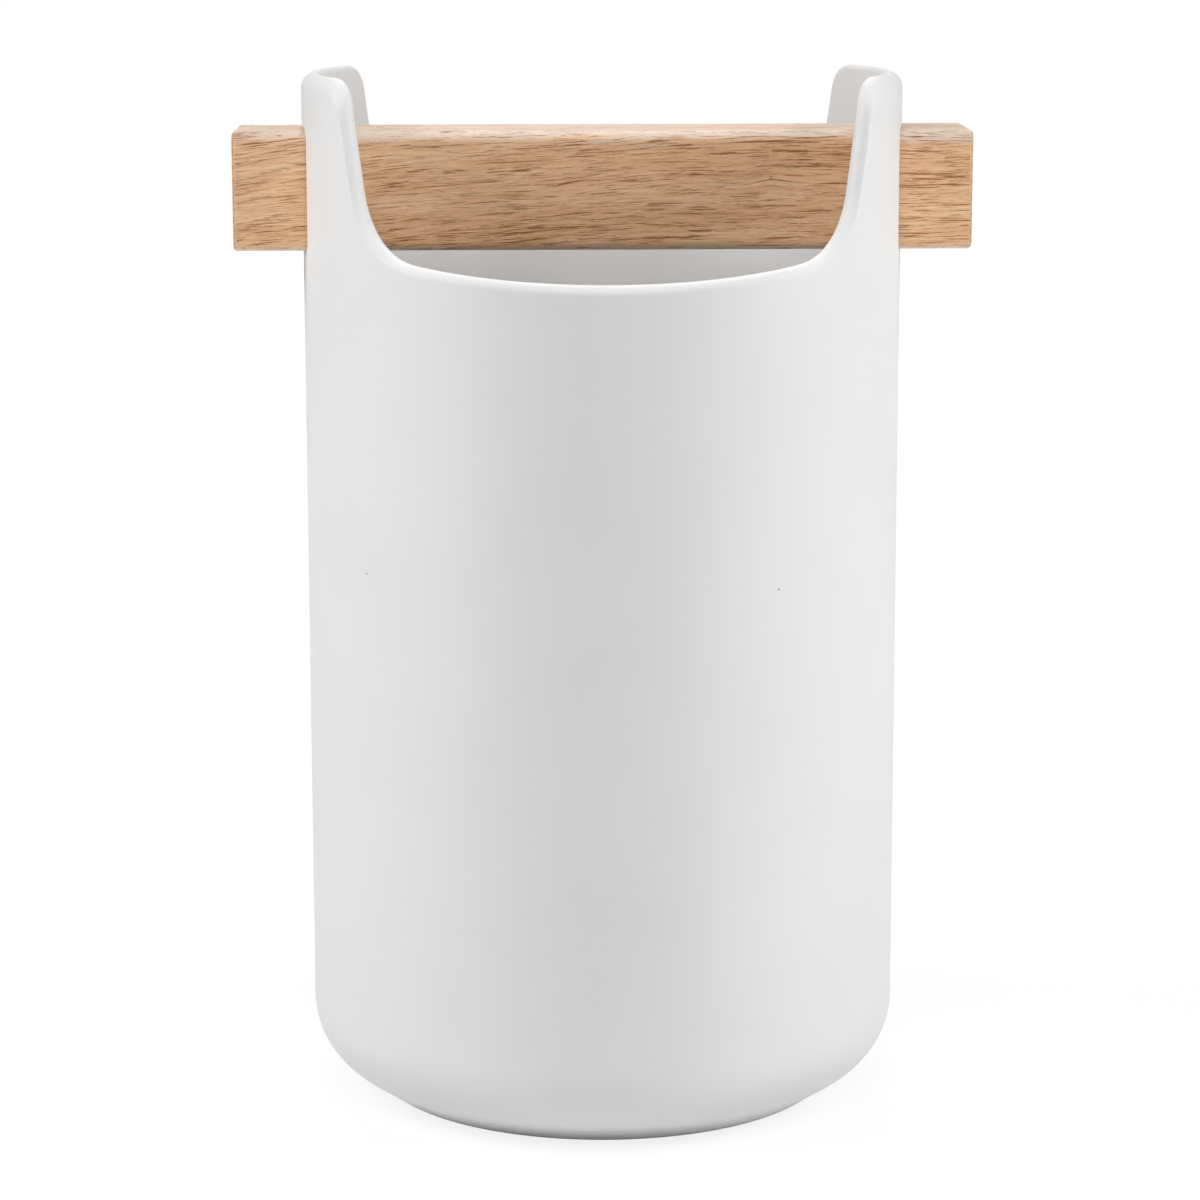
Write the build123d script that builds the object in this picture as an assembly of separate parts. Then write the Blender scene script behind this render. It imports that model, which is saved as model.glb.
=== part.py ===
from build123d import *

import math
import os

# Utensil crock: a straight round ceramic pot with two ears, and a loose oak bar through both ears as its handle.
# Frame: the origin is the centre of the foot on the table, +Z is up, and X runs along the bar, from ear to ear.
# All lengths are in millimetres and all angles in degrees.

# Pot
outer_diameter = 120.0
overall_height = 208.0
wall_thickness = 4.0
floor_thickness = 5.0
outer_corner_radius = 16.0
inner_corner_radius = 12.0

# Foot ring that the pot stands on
foot_diameter = 93.0
foot_ring_width = 5.5
foot_height = 1.9
foot_edge_radius = 0.6

# Top edge, measured along the middle of the wall as if it were unrolled flat
ear_width = 61.2
ear_corner_radius = 8.0
ear_flank_angle = 75.5
sweep_radius = 18.0
rim_drop = 36.7
rim_dip_radius = 330.0
lip_edge_radius = 1.8
lip_share_of_wall = 0.45

# Oak bar
handle_width = 23.6
handle_height = 23.6
handle_overhang = 13.4
handle_edge_radius = 2.0
handle_end_radius = 0.8

# Openings in the ears
opening_top_cover = 10.6
opening_side_clearance = 0.7
opening_top_clearance = 0.6
handle_seat_gap = 0.2
opening_edge_radius = 0.8

# Sizes that follow from the ones above
outer_radius = outer_diameter / 2
inner_radius = outer_radius - wall_thickness
middle_radius = outer_radius - wall_thickness / 2
quarter_turn_length = middle_radius * math.pi / 2
rim_height = overall_height - rim_drop
foot_radius = foot_diameter / 2
foot_inner_radius = foot_radius - foot_ring_width
outer_corner_centre = Vector(outer_radius - outer_corner_radius, foot_height + outer_corner_radius)
floor_top = foot_height + floor_thickness
inner_corner_centre = Vector(inner_radius - inner_corner_radius, floor_top + inner_corner_radius)
handle_length = outer_diameter + 2 * handle_overhang
opening_width = handle_width + 2 * opening_side_clearance
opening_height = handle_height + handle_seat_gap + opening_top_clearance
opening_corner_radius = handle_edge_radius + opening_side_clearance
opening_centre_height = overall_height - opening_top_cover - opening_height / 2
handle_centre_height = opening_centre_height - opening_height / 2 + handle_seat_gap + handle_height / 2

# The stock that the top edge is cut from, how far the cutters reach past it, and the spans of each cut
cut_margin = 10.0
crest_spans = 6
stock_height = overall_height + cut_margin


def unit(angle):
    """Direction in the unrolled wall, at an angle from level."""
    return Vector(math.cos(math.radians(angle)), math.sin(math.radians(angle)))


def crest_outline():
    """The top edge in the unrolled wall, from the end of an ear's level top to the far end of the rim's dip."""
    flank_normal = unit(90 - ear_flank_angle)
    flank_down = unit(-ear_flank_angle)
    top_corner = Vector(ear_width / 2, overall_height)
    ear_tangent = ear_corner_radius * math.tan(math.radians(ear_flank_angle / 2))
    ear_centre = top_corner - Vector(ear_tangent, ear_corner_radius)
    rim_centre = Vector(quarter_turn_length, rim_height + rim_dip_radius)

    # The sweep arc touches the ear's flank on one side and the rim's shallow arc on the other.
    offset = top_corner + flank_normal * sweep_radius - rim_centre
    along = offset.dot(flank_down)
    reach = rim_dip_radius - sweep_radius
    slide = math.sqrt(along**2 - offset.dot(offset) + reach**2) - along
    sweep_centre = rim_centre + offset + flank_down * slide
    from_rim_centre = sweep_centre - rim_centre
    meeting_angle = math.degrees(math.atan2(from_rim_centre.Y, from_rim_centre.X)) % 360
    flank_angle = 270 - ear_flank_angle

    corner = Edge.make_circle(ear_corner_radius, Plane(ear_centre), 90 - ear_flank_angle, 90)
    sweep = Edge.make_circle(sweep_radius, Plane(sweep_centre), flank_angle, meeting_angle)
    flank = Edge.make_line(ear_centre + flank_normal * ear_corner_radius, sweep @ 0)
    rim = Edge.make_circle(rim_dip_radius, Plane(rim_centre), meeting_angle, 540 - meeting_angle)
    return corner, flank, sweep, rim


def laid_on_wall(edge, radius):
    """A stretch of the unrolled top edge, laid on a cylinder round the pot's axis."""
    steps = [i / crest_spans for i in range(crest_spans + 1)]
    points = []
    slopes = []
    for step in steps:
        flat = edge @ step
        flat_slope = edge % step
        turn = math.degrees(flat.X / middle_radius)
        points.append(Vector(radius, 0, flat.Y).rotate(Axis.Z, turn))
        slopes.append(Vector(0, flat_slope.X * radius / middle_radius, flat_slope.Y).rotate(Axis.Z, turn))
    return Edge.make_spline(points, tangents=[slopes[0], slopes[-1]], parameters=steps)


def cutter_above(edge):
    """Everything above one stretch of the top edge; the cut is square to the wall all the way round."""
    inside = laid_on_wall(edge, inner_radius - cut_margin)
    outside = laid_on_wall(edge, outer_radius + cut_margin)
    return Solid.extrude(Face.make_surface_from_curves(inside, outside), Vector(0, 0, stock_height))


def cutter_above_ear(half_angle):
    """Everything above the level top of one ear, as a wedge that opens out from the axis."""
    near = inner_radius - cut_margin
    far = (outer_radius + cut_margin) / math.cos(math.radians(half_angle))
    corners = [(near, half_angle), (far, half_angle), (far, -half_angle), (near, -half_angle)]
    outline = Polyline([Vector(reach, 0).rotate(Axis.Z, turn) for reach, turn in corners], close=True)
    return Pos(0, 0, overall_height) * extrude(make_face(outline), stock_height)


def top_cutters():
    """All that is cut away above the rim and the ears, front and back."""
    corner, flank, sweep, rim = crest_outline()
    ear = cutter_above_ear(math.degrees((corner @ 1).X / middle_radius))
    window = [cutter_above(rim)]
    for edge in (corner, flank, sweep):
        side = cutter_above(edge)
        window += [side, side.mirror(Plane.YZ)]
    return [ear, ear.mirror(Plane.YZ)] + window + [piece.mirror(Plane.XZ) for piece in window]


def pot_section():
    """Half section of the pot, from the axis outwards, before the top edge is cut."""
    foot_reach = foot_radius - outer_corner_centre.X
    foot_join_angle = math.degrees(math.acos(foot_reach / outer_corner_radius))
    outer_corner = CenterArc(outer_corner_centre, outer_corner_radius, -foot_join_angle, foot_join_angle)
    inner_corner = CenterArc(inner_corner_centre, inner_corner_radius, 0, -90)
    below = Polyline(
        (0, floor_top),
        (0, foot_height),
        (foot_inner_radius, foot_height),
        (foot_inner_radius, 0),
        (foot_radius, 0),
        outer_corner @ 0,
    )
    above = Polyline(outer_corner @ 1, (outer_radius, stock_height), (inner_radius, stock_height), inner_corner @ 0)
    floor = Line(inner_corner @ 1, (0, floor_top))
    section = make_face(below + outer_corner + above + inner_corner + floor)
    foot_edges = [v for v in section.vertices() if abs(v.Y) < foot_edge_radius and v.X > 0]
    return fillet(foot_edges, foot_edge_radius)


def ear_opening():
    """The rounded square passage that runs through both ears."""
    section = Plane.YZ * RectangleRounded(opening_width, opening_height, opening_corner_radius)
    return Pos(0, 0, opening_centre_height) * extrude(section, outer_diameter, both=True)


def round_lip(pot):
    """Eases both edges of the cut wall, as the glaze leaves them."""
    lowest = rim_height - wall_thickness
    above = [e for e in pot.edges() if e.bounding_box().min.Z > lowest]
    along_the_wall = [e for e in above if e.geom_type != GeomType.LINE]
    return fillet(along_the_wall, min(lip_edge_radius, lip_share_of_wall * wall_thickness))


def round_openings(pot):
    """Eases the edges of the openings, inside and outside each ear."""
    half_width = opening_width / 2 + opening_edge_radius
    half_height = opening_height / 2 + opening_edge_radius
    around = []
    for e in pot.edges():
        box = e.bounding_box()
        beside = max(abs(box.min.Y), abs(box.max.Y)) < half_width
        level = max(abs(box.min.Z - opening_centre_height), abs(box.max.Z - opening_centre_height)) < half_height
        through = box.size.X > wall_thickness / 2
        if beside and level and not through:
            around.append(e)
    return fillet(around, opening_edge_radius)


def ceramic_crock():
    """The pot with its foot ring, its two ears and their openings, in one piece."""
    pot = revolve(Plane.XZ * pot_section(), Axis.Z)
    pot = round_lip(pot - top_cutters())
    pot = pot - ear_opening()
    return round_openings(pot)


def oak_handle():
    """The square bar, with eased long edges and lightly broken end edges."""
    section = Plane.YZ * RectangleRounded(handle_width, handle_height, handle_edge_radius)
    bar = extrude(section, handle_length / 2, both=True)
    ends = bar.faces().filter_by(Axis.X).edges()
    return Pos(0, 0, handle_centre_height) * fillet(ends, handle_end_radius)


def main():
    """Builds each piece and writes it under its own name."""
    os.makedirs("parts", exist_ok=True)
    pieces = {"ceramic_crock": ceramic_crock(), "oak_handle": oak_handle()}
    for name, piece in pieces.items():
        piece.label = name
        export_step(piece, f"parts/{name}.step")


main()
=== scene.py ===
"""A tall utensil crock in silk-white stoneware, with a loose square bar of oak through its two ears.

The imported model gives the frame. Crock and bar are built again here, finer, in the same place and size.
Lengths are in millimetres until a mesh is made, and in metres after that.
"""

import logging
import math
from dataclasses import astuple, dataclass
from enum import Enum
from typing import Any, Sequence

import bmesh
import bpy
from mathutils import Matrix, Vector


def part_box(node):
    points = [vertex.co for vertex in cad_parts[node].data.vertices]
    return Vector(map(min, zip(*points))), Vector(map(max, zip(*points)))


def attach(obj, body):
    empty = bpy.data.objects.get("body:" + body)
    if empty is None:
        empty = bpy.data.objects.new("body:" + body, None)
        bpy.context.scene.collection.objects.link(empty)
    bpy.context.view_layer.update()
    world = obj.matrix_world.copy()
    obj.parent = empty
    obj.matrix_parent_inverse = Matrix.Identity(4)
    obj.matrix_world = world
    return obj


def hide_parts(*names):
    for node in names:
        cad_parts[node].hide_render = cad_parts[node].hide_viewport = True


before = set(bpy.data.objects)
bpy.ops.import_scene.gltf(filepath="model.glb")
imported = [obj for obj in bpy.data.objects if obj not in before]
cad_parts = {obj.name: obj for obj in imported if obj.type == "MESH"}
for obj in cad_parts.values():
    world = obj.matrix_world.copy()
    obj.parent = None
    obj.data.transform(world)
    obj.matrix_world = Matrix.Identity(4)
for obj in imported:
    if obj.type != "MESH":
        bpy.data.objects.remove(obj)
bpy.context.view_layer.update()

Pair = tuple[float, float]
Triple = tuple[float, float, float]
Colour = tuple[float, float, float, float]

MM = 0.001
EVEN = (1.0, 1.0, 1.0)
WHITE = (1.0, 1.0, 1.0, 1.0)
MERGE_METRES = 2e-6
CREASE_DEGREES = 50.0

# A Mix node's sockets for colours, by their place among its inputs and its outputs.
FIRST_COLOUR = 6
SECOND_COLOUR = 7
MIXED_COLOUR = 2

log = logging.getLogger("utensil_holder")


class Body(str, Enum):
    """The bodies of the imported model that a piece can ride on."""

    CROCK = "crock"
    HANDLE = "handle"


class Slot(str, Enum):
    """The record's material slots."""

    GLAZE = "white_glaze"
    OAK = "oak"


class Axis(Enum):
    """The axes of Object coordinates."""

    X = 0
    Y = 1
    Z = 2


class Face(Enum):
    """The two faces of the pot's wall, each with its side of the middle of the wall."""

    OUTSIDE = 1.0
    INSIDE = -1.0


def direction(degrees: float) -> Vector:
    """A unit vector in a plane, at an angle from its first axis."""
    return Vector((math.cos(math.radians(degrees)), math.sin(math.radians(degrees))))


def spread(start: float, end: float, parts: int) -> list[float]:
    """Evenly spaced values, both ends included.

    Args:
        start: The first value.
        end: The last value.
        parts: How many equal steps lie between them.

    Returns:
        parts + 1 values.
    """
    return [start + (end - start) * i / parts for i in range(parts + 1)]


def arc(centre: Sequence[float], radius: float, start: float, end: float, steps: int) -> list[Vector]:
    """Points of an arc in a plane.

    Args:
        centre: Its centre.
        radius: Its radius.
        start: Its first angle in degrees.
        end: Its last angle in degrees.
        steps: How many equal parts it has.

    Returns:
        The points, both ends included.
    """
    return [Vector(centre) + direction(angle) * radius for angle in spread(start, end, steps)]


class Term:
    """A socket of a node tree that takes part in Python arithmetic."""

    def __init__(self, graph: "Graph", socket: bpy.types.NodeSocket | None) -> None:
        """Wraps a socket of a graph."""
        self.graph = graph
        self.socket = socket

    def maths(self, operation: str, *others: Any) -> "Term":
        """Adds one Math node that starts from this term.

        Args:
            operation: The Math node's operation.
            others: The values or terms of its further sockets, in order.

        Returns:
            The node's result.
        """
        return self.graph.node("Math", {"operation": operation}, dict(enumerate((self, *others))))

    def __add__(self, other: Any) -> "Term":
        """Sum."""
        return self.maths("ADD", other)

    def __radd__(self, other: float) -> "Term":
        """Sum with a number on the left."""
        return self.maths("ADD", other)

    def __sub__(self, other: Any) -> "Term":
        """Difference."""
        return self.maths("SUBTRACT", other)

    def __rsub__(self, other: float) -> "Term":
        """Difference with a number on the left."""
        return self.graph.node("Math", {"operation": "SUBTRACT"}, {0: other, 1: self})

    def __mul__(self, other: Any) -> "Term":
        """Product."""
        return self.maths("MULTIPLY", other)

    def __rmul__(self, other: float) -> "Term":
        """Product with a number on the left."""
        return self.maths("MULTIPLY", other)

    def __truediv__(self, other: Any) -> "Term":
        """Quotient."""
        return self.maths("DIVIDE", other)

    def centred(self) -> "Term":
        """A noise that lies about zero instead of a half."""
        return self - 0.5

    def step_from(self, low: float, high: float) -> "Term":
        """A smooth step.

        Args:
            low: Where it is 0.
            high: Where it is 1; this may be the smaller of the two.

        Returns:
            A value between 0 and 1.
        """
        if low > high:
            return 1.0 - self.step_from(high, low)
        settings = {"interpolation_type": "SMOOTHSTEP"}
        return self.graph.node("MapRange", settings, {"Value": self, "From Min": low, "From Max": high})


class Graph:
    """A node tree that is written as expressions."""

    prefix = "ShaderNode"

    def __init__(self, tree: bpy.types.NodeTree) -> None:
        """Takes over a tree and empties it."""
        self.tree = tree
        tree.nodes.clear()

    def node(
        self,
        kind: str,
        settings: dict[str, Any] | None = None,
        values: dict[Any, Any] | None = None,
        result: int | str = 0,
    ) -> Term:
        """Adds any node.

        Args:
            kind: The node's type, without the prefix of its kind of tree.
            settings: Properties of the node, set first.
            values: A number, colour, vector or term for each socket, by its name or index.
            result: The output that is wanted, by its name or index.

        Returns:
            That output.
        """
        full_name = kind.startswith(("GeometryNode", "NodeGroup"))
        made = self.tree.nodes.new(kind if full_name else self.prefix + kind)
        for key, value in (settings or {}).items():
            setattr(made, key, value)
        for key, value in (values or {}).items():
            self._feed(made.inputs[key], value)
        return Term(self, made.outputs[result]) if made.outputs else Term(self, None)

    def _feed(self, socket: bpy.types.NodeSocket, value: Any) -> None:
        """Gives a socket what it reads.

        Args:
            socket: An input of a node.
            value: A term to link to it, or a value for the socket itself.
        """
        if isinstance(value, Term):
            self.tree.links.new(value.socket, socket)
        else:
            socket.default_value = value

    def place(self, scale: Sequence[float] = EVEN, origin: Sequence[float] = (0.0, 0.0, 0.0)) -> Term:
        """Object coordinates in millimetres from a point, scaled.

        Args:
            scale: How much each axis is stretched; a small number makes long features.
            origin: The point, in millimetres, that becomes the pattern's centre.

        Returns:
            The vector that a texture reads.
        """
        here = self.node("TexCoord", result="Object")
        centre = [v * MM for v in origin]
        centred = self.node("VectorMath", {"operation": "SUBTRACT"}, {0: here, 1: centre})
        sized = {"Vector": centred, "Scale": [v / MM for v in scale]}
        return self.node("Mapping", {"vector_type": "POINT"}, sized)

    def length(self, vector: Term) -> Term:
        """The length of a vector."""
        return self.node("VectorMath", {"operation": "LENGTH"}, {0: vector}, "Value")

    def shifted(self, vector: Term, by: Sequence[Any]) -> Term:
        """A vector with numbers or terms added along its axes."""
        offset = self.node("CombineXYZ", values=dict(enumerate(by)))
        return self.node("VectorMath", {"operation": "ADD"}, {0: vector, 1: offset})

    def axis(self, vector: Term, axis: Axis) -> Term:
        """One coordinate of a vector."""
        return self.node("SeparateXYZ", values={0: vector}, result=axis.value)

    def noise(self, vector: Term, detail: float = 3.0, roughness: float = 0.5) -> Term:
        """Noise between 0 and 1, one feature to a unit of the vector."""
        values = {"Vector": vector, "Scale": 1.0, "Detail": detail, "Roughness": roughness}
        return self.node("TexNoise", values=values)

    def even_noise(self, density: float, detail: float = 3.0, roughness: float = 0.5) -> Term:
        """Noise that is alike in all directions, so many features to a millimetre."""
        return self.noise(self.place([density] * 3), detail, roughness)

    def blend(self, factor: Any, first: Any, second: Any) -> Term:
        """A mix of two colours.

        Args:
            factor: How much of the second colour, from 0 to 1.
            first: The colour at factor 0.
            second: The colour at factor 1.

        Returns:
            The mixed colour.
        """
        values = {"Factor": factor, FIRST_COLOUR: first, SECOND_COLOUR: second}
        return self.node("Mix", {"data_type": "RGBA"}, values, result=MIXED_COLOUR)

    def bump(self, height: Any, strength: float, distance: float, under: Term | None = None) -> Term:
        """A normal that follows a height.

        Args:
            height: The height, where 1 stands for the whole distance.
            strength: How much of it shows.
            distance: The height of 1, in millimetres.
            under: A normal that this one lies on.

        Returns:
            The normal.
        """
        values = {"Height": height, "Strength": strength, "Distance": distance * MM}
        if under is not None:
            values["Normal"] = under
        return self.node("Bump", values=values)


class Finish:
    """A procedural material: a name, the shader's fixed values, and what varies over the surface."""

    name: str = "plain"

    def constants(self) -> dict[str, Any]:
        """Values that are the same all over, by the shader's socket."""
        return {}

    def varying(self, graph: Graph) -> dict[str, Any]:
        """Terms for the shader's sockets that change over the surface."""
        return {}

    def surface(self, graph: Graph) -> Term:
        """The shader that the material's output takes."""
        return graph.node("BsdfPrincipled", values={**self.constants(), **self.varying(graph)})

    def material(self) -> bpy.types.Material:
        """Builds the material.

        Returns:
            The finished material.
        """
        made = bpy.data.materials.new(self.name)
        made.use_nodes = True
        graph = Graph(made.node_tree)
        graph.node("OutputMaterial", values={"Surface": self.surface(graph)})
        return made


@dataclass(frozen=True)
class SilkGlaze(Finish):
    """Silk-matt white glaze on pale stoneware, bare where the foot ring meets the table.

    The glaze is even and neutral. It has a barely visible mottle, a very fine orange peel, slow waves from
    casting, and a few iron specks no wider than a hair. It is a little greyer where it pools beside the foot.
    Every edge is a pair of values where something is absent and where it is full, and every relief is a
    strength and a depth.
    """

    name: str = "silk_white_glaze"
    white: Colour = (0.800, 0.800, 0.798, 1.0)
    mottle: Colour = (0.782, 0.782, 0.780, 1.0)
    pooled: Colour = (0.775, 0.775, 0.770, 1.0)
    bare_clay: Colour = (0.690, 0.665, 0.625, 1.0)
    speck: Colour = (0.330, 0.310, 0.290, 1.0)
    mottle_size: float = 30.0
    mottle_edge: Pair = (0.30, 0.74)
    wave_size: float = 40.0
    wave_relief: Pair = (0.25, 0.4)
    peel_size: float = 1.4
    peel_relief: Pair = (0.10, 0.02)
    speck_places: tuple[Pair, ...] = ((-141.3, 113.0), (-57.0, 111.8), (38.0, 61.0), (118.0, 142.0))
    speck_edge: Pair = (0.39, 0.15)
    speck_share: float = 0.75
    outer_radius: float = 60.0
    pool_edge: Pair = (3.5, 1.7)
    pool_share: float = 0.5
    grit_density: float = 2.2
    grit_relief: Pair = (0.6, 0.12)
    bare_edge: Pair = (0.42, 0.18)
    bare_wander: float = 0.25
    roughness: float = 0.44
    mottle_roughness: float = 0.08
    bare_roughness: float = 0.35

    def constants(self) -> dict[str, Any]:
        """Values that are the same all over, by the shader's socket."""
        return {"IOR": 1.50, "Specular IOR Level": 0.35}

    def speck_at(self, graph: Graph, turn: float, height: float) -> Term:
        """One iron speck on the outer wall.

        Args:
            graph: The material's graph.
            turn: Its angle round the pot, from +X, in degrees.
            height: Its height.

        Returns:
            1 on the speck and 0 elsewhere.
        """
        place = (*(direction(turn) * self.outer_radius), height)
        return graph.length(graph.place(origin=place)).step_from(*self.speck_edge)

    def varying(self, graph: Graph) -> dict[str, Any]:
        """Colour, roughness and relief of the glaze and of the bare clay.

        Args:
            graph: The material's graph.

        Returns:
            A term for each of the shader's sockets that change over the surface.
        """
        height = graph.axis(graph.place(), Axis.Z)
        cloudy = graph.even_noise(1 / self.mottle_size)
        colour = graph.blend(cloudy.step_from(*self.mottle_edge), self.white, self.mottle)
        near_foot = height.step_from(*self.pool_edge)
        colour = graph.blend(near_foot * self.pool_share, colour, self.pooled)
        for turn, speck_height in self.speck_places:
            speck = self.speck_at(graph, turn, speck_height)
            colour = graph.blend(speck * self.speck_share, colour, self.speck)

        grit = graph.even_noise(self.grit_density, detail=5.0, roughness=0.7)
        bare = (height + grit.centred() * self.bare_wander).step_from(*self.bare_edge)
        colour = graph.blend(bare, colour, graph.blend(grit, self.bare_clay, self.pooled))

        wave = graph.even_noise(1 / self.wave_size, detail=1.0)
        peel = graph.even_noise(1 / self.peel_size, detail=2.0)
        slow = graph.bump(wave, *self.wave_relief)
        fine = graph.bump(peel, *self.peel_relief, under=slow)
        return {
            "Base Color": colour,
            "Roughness": self.roughness + cloudy * self.mottle_roughness + bare * self.bare_roughness,
            "Normal": graph.bump(grit * bare, *self.grit_relief, under=fine),
        }


@dataclass(frozen=True)
class Streak:
    """A long open vessel on the bar's front: its middle along the bar and above its centre, and its size."""

    along: float
    above: float
    length: float
    thickness: float = 0.34


@dataclass(frozen=True)
class Figure:
    """One noise of the oak's figure, drawn out along the grain.

    It has so many features to a millimetre along the grain and across it, and a shift of its own. It starts
    to show where the noise is at low and is full at high, and share says how much of it then shows.
    """

    along: float
    across: float
    shift: float = 0.0
    low: float = 0.0
    high: float = 1.0
    share: float = 1.0
    roughness: float = 0.6

    def noise(self, graph: Graph, grain: Term) -> Term:
        """The noise itself.

        Args:
            graph: The material's graph.
            grain: Coordinates that follow the grain.

        Returns:
            A value between 0 and 1.
        """
        values = {0: grain, 1: [self.along, self.across, self.across], 2: [self.shift] * 3}
        drawn = graph.node("VectorMath", {"operation": "MULTIPLY_ADD"}, values)
        return graph.noise(drawn, roughness=self.roughness)

    def shown(self, noise: Term) -> Term:
        """How much of the noise shows."""
        return noise.step_from(self.low, self.high) * self.share


@dataclass(frozen=True)
class PaleOak(Finish):
    """Light oak, planed and unlacquered, with its grain along the bar.

    The grain climbs from the left end and levels out to the right. Light and tan bands, fine fibres and
    many thin dark vessels follow it. A painted sheen makes the upper side paler, most of all on the top face,
    and painted bounce light makes the lower edge paler. The bar has one pin knot in front.
    Its ends show growth rings round a pith that lies outside the bar. Pairs are as in the glaze.
    """

    name: str = "pale_oak"
    centre: Triple = (0.0, 0.0, 185.0)
    light: Colour = (0.965, 0.668, 0.420, 1.0)
    tan: Colour = (0.920, 0.575, 0.335, 1.0)
    red: Colour = (0.770, 0.420, 0.215, 1.0)
    # Painted light: a pale colour that stands for sheen on the upper side and bounce light on the lower edge.
    painted_light_cream: Colour = (0.830, 0.690, 0.575, 1.0)
    vessel: Colour = (0.290, 0.095, 0.024, 1.0)
    early_wood: Colour = (0.640, 0.435, 0.272, 1.0)
    late_wood: Colour = (0.490, 0.300, 0.168, 1.0)
    rise: float = 0.045
    flattening: float = 0.00038
    wander_density: Triple = (0.016, 0.06, 0.06)
    wander_height: float = 4.0
    bands: Figure = Figure(0.012, 0.22, 0.0, 0.36, 0.64)
    warm: Figure = Figure(0.030, 0.14, 7.0, 0.50, 0.72, 0.25)
    streaky: Figure = Figure(0.045, 1.30, 3.0, 0.44, 0.70, 0.55)
    fibre: Figure = Figure(0.160, 4.60, 11.0, 0.60, 0.42, 0.48)
    patchy: Figure = Figure(0.025, 0.30, 43.0)
    pores: tuple[Figure, ...] = (
        Figure(0.085, 2.90, 17.0, 0.625, 0.660, 0.88),
        Figure(0.150, 4.60, 23.0, 0.605, 0.645, 0.66),
        Figure(0.330, 6.40, 31.0, 0.605, 0.650, 0.40),
    )
    crowding: float = 0.03
    crowded_bands: Pair = (0.42, 0.62)
    crowded_warm: Pair = (0.45, 0.65)
    # Painted sheen: where and how strongly the upper side is drawn paler.
    top_sheen_edge: Pair = (9.0, 11.4)
    top_sheen_share: float = 0.85
    top_sheen_streaks: float = 6.0
    top_sheen_patches: float = 8.0
    sheen_facing_up: Pair = (0.5, 0.95)
    sheen_top_lift: float = 1.5
    # Painted bounce light: where and how strongly the lower edge is drawn paler.
    bounce_light_edge: Pair = (-10.4, -11.6)
    bounce_light_share: float = 0.75
    bounce_light_streaks: float = 2.0
    knot: Triple = (33.2, -11.8, 2.4)
    knot_edge: Pair = (0.60, 0.20)
    knot_fray: float = 1.4
    knot_share: float = 0.5
    knot_reach: float = 5.0
    knot_swerve: float = 0.5
    end_facing: Pair = (0.25, 0.70)
    pith: Triple = (0.0, 26.0, 141.0)
    ring_width: float = 2.6
    ring_wobble: float = 1.2
    wobble_density: float = 0.12
    late_edge: Pair = (0.15, 0.95)
    end_pore_density: Triple = (0.4, 2.6, 2.6)
    end_pore_edge: Pair = (0.52, 0.62)
    end_pore_rings: tuple[Pair, Pair] = ((0.0, 0.10), (0.50, 0.25))
    end_pore_share: float = 0.75
    roughness: float = 0.50
    fibre_roughness: float = 0.16
    fibre_relief: Pair = (0.30, 0.05)
    vessel_relief: Pair = (0.6, 0.08)
    streak_fray: float = 4.0
    streak_edge: Pair = (1.0, 0.35)
    streak_share: float = 0.85
    streaks: tuple[Streak, ...] = (
        Streak(-66.0, 9.9, 15.0),
        Streak(-32.0, 9.0, 11.0),
        Streak(-39.5, -9.1, 7.0),
        Streak(-17.0, -8.2, 11.0, 0.42),
        Streak(-5.5, -7.1, 13.0),
        Streak(11.0, -9.3, 23.0, 0.46),
        Streak(32.0, 9.7, 17.0),
        Streak(15.5, 9.0, 6.0, 0.40),
    )

    def constants(self) -> dict[str, Any]:
        """Values that are the same all over, by the shader's socket."""
        return {"IOR": 1.45, "Specular IOR Level": 0.30}

    def varying(self, graph: Graph) -> dict[str, Any]:
        """Colour, roughness and relief of the oak.

        Args:
            graph: The material's graph.

        Returns:
            A term for each of the shader's sockets that change over the surface.
        """
        plain = graph.place(origin=self.centre)
        x, z = graph.axis(plain, Axis.X), graph.axis(plain, Axis.Z)
        away = graph.node("VectorMath", {"operation": "DISTANCE"}, {0: plain, 1: self.knot}, "Value")
        swerve = away.step_from(self.knot_reach, 0.0) * self.knot_swerve
        wander = graph.noise(graph.place(self.wander_density, origin=self.centre), detail=2.0)
        climb = x * self.rise - x * x * self.flattening
        fall = (climb + wander.centred() * self.wander_height + swerve) * -1.0
        grain = graph.shifted(plain, (0.0, 0.0, fall))

        figures = (self.bands, self.warm, self.streaky, self.fibre, self.patchy)
        bands, warm, streaky, fibre, patchy = (figure.noise(graph, grain) for figure in figures)
        colour = graph.blend(self.bands.shown(bands), self.light, self.tan)
        colour = graph.blend(self.streaky.shown(streaky), colour, self.red)
        colour = graph.blend(self.warm.shown(warm), colour, self.red)
        colour = graph.blend(self.fibre.shown(fibre), colour, self.red)

        facing = graph.node("NewGeometry", result="Normal")
        # Painted sheen: faces that look up, and the upper side, are drawn paler.
        sheen_on_top = graph.axis(facing, Axis.Z).step_from(*self.sheen_facing_up)
        ragged = streaky.centred() * self.top_sheen_streaks + patchy.centred() * self.top_sheen_patches
        upper = (z + sheen_on_top * self.sheen_top_lift + ragged).step_from(*self.top_sheen_edge)
        # Painted bounce light: the lower edge is drawn paler.
        lower = (z + streaky.centred() * self.bounce_light_streaks).step_from(*self.bounce_light_edge)
        colour = graph.blend(upper * self.top_sheen_share, colour, self.painted_light_cream)
        colour = graph.blend(lower * self.bounce_light_share, colour, self.painted_light_cream)

        crowded = (bands.step_from(*self.crowded_bands) + warm.step_from(*self.crowded_warm)) * self.crowding
        dark = [pores.shown(pores.noise(graph, grain) + crowded) for pores in self.pores]
        dark += [self.drawn_streak(graph, x, z - climb, streak, fibre) for streak in self.streaks]
        vessels = dark[0]
        for more in dark[1:]:
            vessels = vessels.maths("MAXIMUM", more)
        colour = graph.blend(vessels, colour, self.vessel)

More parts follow.
